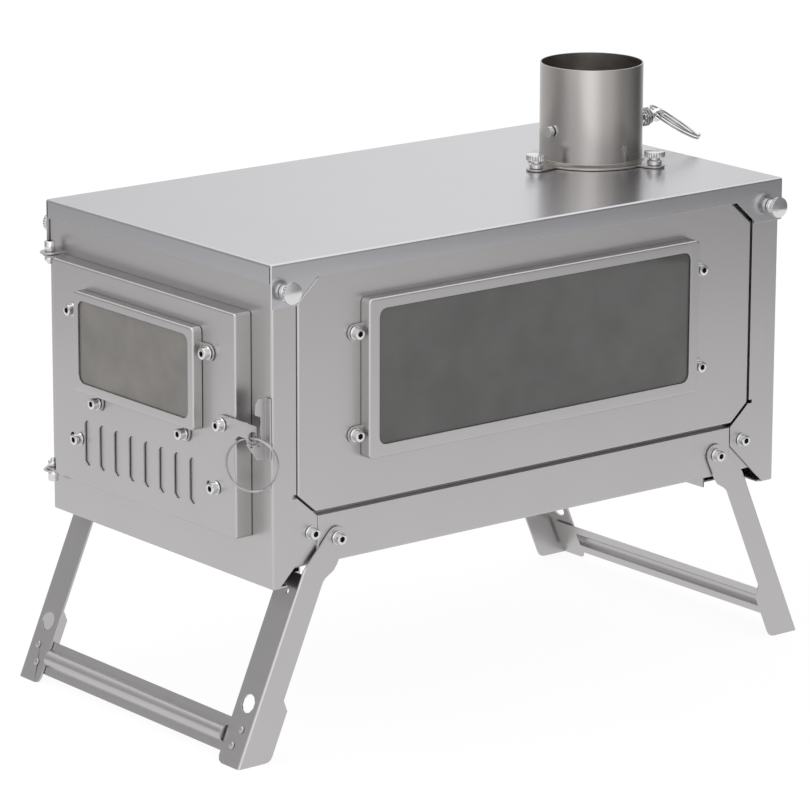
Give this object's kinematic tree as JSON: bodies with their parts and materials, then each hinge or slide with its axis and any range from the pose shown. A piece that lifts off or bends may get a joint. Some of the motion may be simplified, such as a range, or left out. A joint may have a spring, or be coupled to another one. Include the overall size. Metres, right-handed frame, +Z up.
{
  "type": "tent wood stove",
  "caption": "Box-shaped sheet-metal tent stove with a glazed latched door, a long side window, a flue collar with damper, and folding leg frames.",
  "frame": {"origin": "centre of the bounding box in plan, on the floor under the feet", "axes": "+Z up; -Y the side with the door; +X the side with the long window"},
  "size_m": [0.2244, 0.4195, 0.3317],
  "materials": {
    "body_sheet": "bead-blasted grey sheet, satin",
    "lid_sheet": "satin sheet, slightly brighter",
    "pipe_steel": "polished satin tube",
    "bright_hardware": "polished",
    "stove_glass": "clear heat-resistant glass over a dark firebox",
    "fibre_gasket": "woven glass fibre",
    "grate_steel": "plain sheet"
  },
  "bodies": {
    "stove_body": {"lid": "lid_sheet", "front_panel": "body_sheet", "rear_panel": "body_sheet", "bottom_tray": "body_sheet", "fire_grate": "grate_steel", "side_panel_right": "body_sheet", "side_panel_left": "body_sheet", "side_window_frame": "body_sheet", "side_glass": "stove_glass", "side_glass_gasket": "fibre_gasket", "latch_keeper": "body_sheet", "flue_collar": "pipe_steel", "damper_spring": "bright_hardware", "side_window_screw_1": "bright_hardware", "side_window_screw_2": "bright_hardware", "side_window_screw_3": "bright_hardware", "side_window_screw_4": "bright_hardware", "flue_thumbscrew_1": "bright_hardware", "flue_thumbscrew_2": "bright_hardware", "flue_thumbscrew_3": "bright_hardware", "lid_thumbscrew_front_right": "bright_hardware", "corner_screw_front_right": "bright_hardware", "front_pivot_screw_right": "bright_hardware", "lid_thumbscrew_front_left": "bright_hardware", "corner_screw_front_left": "bright_hardware", "front_pivot_screw_left": "bright_hardware", "lid_thumbscrew_rear_right": "bright_hardware", "corner_screw_rear_right": "bright_hardware", "rear_pivot_screw_right": "bright_hardware", "lid_thumbscrew_rear_left": "bright_hardware", "corner_screw_rear_left": "bright_hardware", "rear_pivot_screw_left": "bright_hardware", "hinge_bolt_upper": "bright_hardware", "hinge_bolt_lower": "bright_hardware"},
    "door": {"door": "body_sheet", "door_window_frame": "body_sheet", "door_glass": "stove_glass", "latch_screw": "bright_hardware", "door_window_screw_1": "bright_hardware", "door_window_screw_2": "bright_hardware", "door_window_screw_3": "bright_hardware", "door_window_screw_4": "bright_hardware"},
    "air_slide": {"air_slide": "body_sheet", "air_slide_screw_1": "bright_hardware", "air_slide_screw_2": "bright_hardware"},
    "latch": {"latch_bar": "body_sheet"},
    "latch_ring": {"latch_ring": "bright_hardware"},
    "damper": {"damper_axle": "bright_hardware", "damper_plate": "pipe_steel"},
    "damper_ring": {"damper_ring": "bright_hardware"},
    "front_legs": {"front_leg_right": "body_sheet", "front_leg_left": "body_sheet", "front_crossbar": "body_sheet"},
    "rear_legs": {"rear_leg_right": "body_sheet", "rear_leg_left": "body_sheet", "rear_crossbar": "body_sheet"}
  },
  "joints": [
    {"name": "door_hinge", "type": "hinge", "parent": "stove_body", "child": "door", "pos_m": [-0.0945, -0.19075, 0.18375], "axis": [0, 0, -1], "range_deg": [0, 120]},
    {"name": "air_slide_travel", "type": "slide", "parent": "door", "child": "air_slide", "axis": [-1, 0, 0], "range_m": [0, 0.007]},
    {"name": "latch_lift", "type": "hinge", "parent": "door", "child": "latch", "pos_m": [0.0752, -0.19665, 0.1836], "axis": [0, -1, 0], "range_deg": [0, 25]},
    {"name": "latch_ring_swing", "type": "hinge", "parent": "latch", "child": "latch_ring", "pos_m": [0.0965, -0.19335, 0.1798], "axis": [0.829, 0.5592, 0], "range_deg": [-45, 4]},
    {"name": "damper_turn", "type": "hinge", "parent": "stove_body", "child": "damper", "pos_m": [-0.0025, 0.12685, 0.2941], "axis": [0, 1, 0], "range_deg": [-20, 70]},
    {"name": "damper_ring_swing", "type": "hinge", "parent": "damper", "child": "damper_ring", "pos_m": [-0.0025, 0.17835, 0.2941], "axis": [0.9397, 0, -0.342], "range_deg": [-30, 30]},
    {"name": "front_legs_fold", "type": "hinge", "parent": "stove_body", "child": "front_legs", "pos_m": [0, -0.1427, 0.118], "axis": [1, 0, 0], "range_deg": [0, 112]},
    {"name": "rear_legs_fold", "type": "hinge", "parent": "stove_body", "child": "rear_legs", "pos_m": [0, 0.132, 0.118], "axis": [-1, 0, 0], "range_deg": [0, 112]}
  ]
}
